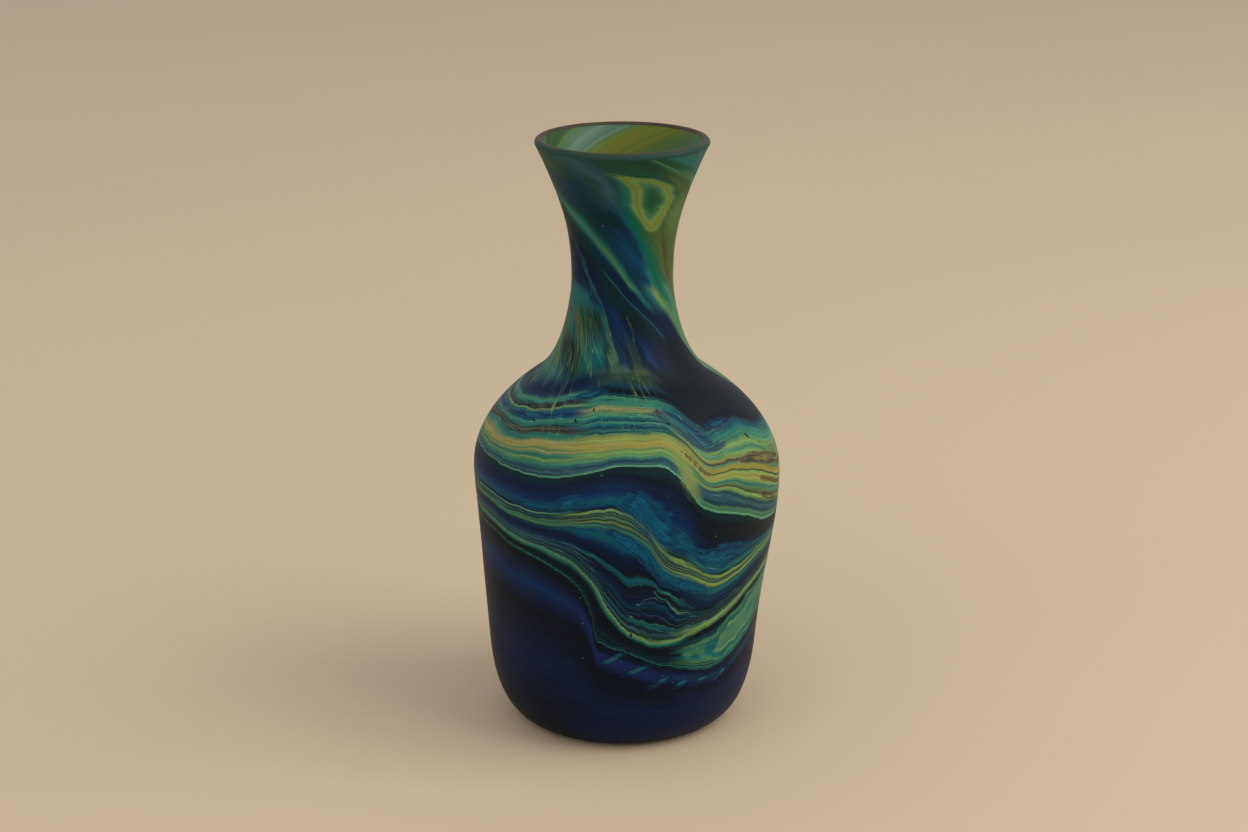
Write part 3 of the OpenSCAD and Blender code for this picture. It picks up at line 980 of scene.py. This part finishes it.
lining_glass_painted_glow().finish(gather)
lip_glass().finish(lip)
plain_glass("base_glass", "night", "royal", 60, 0.5).finish(pad)
plain_glass("ground_glass", "royal", "slate", 300, 0.6).finish(mark)

# %% [markdown]
# ## Blisters
# A few bubbles of air were caught just under the skin and drawn out by the heat. Each shows as a
# small dark oval, so each is a flattened bead set almost flush into the casing.

# %% Set the blisters
# angle, height, length, width, tilt from level in degrees
BLISTERS = [
    (61, 105.5, 2.8, 0.9, 60), (-24, 114.5, 1.7, 0.6, 55), (-16, 117.6, 1.6, 0.5, 80),
    (22, 113.8, 1.8, 0.5, 45), (-47, 112.5, 1.8, 0.7, 20), (3, 45.5, 1.6, 0.7, 80),
    (47, 113.5, 1.4, 0.6, 10), (28, 73, 1.3, 0.5, 15), (-62, 92, 1.5, 0.5, 5),
    (10, 61, 1.2, 0.5, 70), (110, 104, 2.2, 0.7, 40), (165, 110, 1.8, 0.6, 65),
    (215, 62, 1.6, 0.6, 30), (140, 48, 1.5, 0.6, 75),
]
BLISTER_T = 0.4
profile = {p.y: p.x for p in skin(0, OUTSIDE_STEPS)}
bubbles = bmesh.new()
for angle, height, length, width, tilt in BLISTERS:
    radius = float(read(profile, height))
    below = float(read(profile, height - 1))
    around = Matrix.Rotation(math.radians(angle), 4, "Z")
    slope = Matrix.Rotation(-math.atan2(below - radius, 1), 4, "X")
    sunk = Vector((lean(height), 0, height)) + around @ Vector((0, -radius, 0))
    spin = around @ slope @ Matrix.Rotation(math.radians(tilt), 4, "Y")
    size = Matrix.Diagonal((length / 2 * MM, BLISTER_T / 2 * MM, width / 2 * MM, 1))
    bmesh.ops.create_uvsphere(bubbles, u_segments=20, v_segments=12, radius=1,
                              matrix=Matrix.Translation(sunk * MM) @ spin @ size)
blister_mesh = bpy.data.meshes.new("blisters")
bubbles.to_mesh(blister_mesh)
bubbles.free()
blister_mesh.polygons.foreach_set("use_smooth", [True] * len(blister_mesh.polygons))
blisters = show("blisters", blister_mesh)
settle(blisters, "outer_casing")
plain_glass("blister_glass", "ink", "coal", 900, 0.35).finish(blisters)
print(len(BLISTERS), "blisters")

# %% [markdown]
# ## The studio
# A pale warm floor in a bright room, with one large soft light from the right and a weaker one from
# the left in front.

# %% Floor
floor_mesh = bpy.data.meshes.new("floor")
bm = bmesh.new()
bmesh.ops.create_grid(bm, x_segments=8, y_segments=8, size=4)
bm.to_mesh(floor_mesh)
bm.free()
floor = show("floor", floor_mesh)
bench = Bench("floor_paint")
tone = bench.span(bench.grain(bench.place, 2.0, 2), 0.3, 0.7)
paint = bench.mix(tone, (0.575, 0.465, 0.325, 1), (0.59, 0.475, 0.335, 1))
bench.coat(paint, rough=0.8, gloss=0.5)
bench.finish(floor)


# %% Lights
def soft_light(name, place, size, power, colour):
    """A square softbox that looks at the vase."""
    data = bpy.data.lights.new(name, "AREA")
    data.size = size
    data.energy = power
    data.color = colour
    lamp = show(name, data)
    lamp.location = place
    aim = Vector((0, 0, VASE_H * MM / 2)) - Vector(place)
    lamp.rotation_euler = aim.to_track_quat("-Z", "Y").to_euler()


soft_light("key", (1.4, -0.4, 1.2), 1.6, 22, (1, 0.94, 0.82))
soft_light("fill", (-0.9, -1.3, 1.2), 1.8, 7, (1, 0.96, 0.9))
world = bpy.data.worlds.new("room")
world.use_nodes = True
room = world.node_tree.nodes["Background"].inputs
room["Color"].default_value = (1, 0.97, 0.93, 1)
room["Strength"].default_value = 0.64
bpy.context.scene.world = world
bpy.context.scene.view_settings.view_transform = "Standard"

# %% Camera
camera_data = bpy.data.cameras.new("camera")
camera_data.lens = 70
camera_data.sensor_width = 36
CAMERA_DIP = 17.65  # degrees below level
camera = show("camera", camera_data)
camera.location = (0, -0.7765, 0.3522)
camera.rotation_euler = (math.radians(90 - CAMERA_DIP), 0, 0)
bpy.context.scene.camera = camera
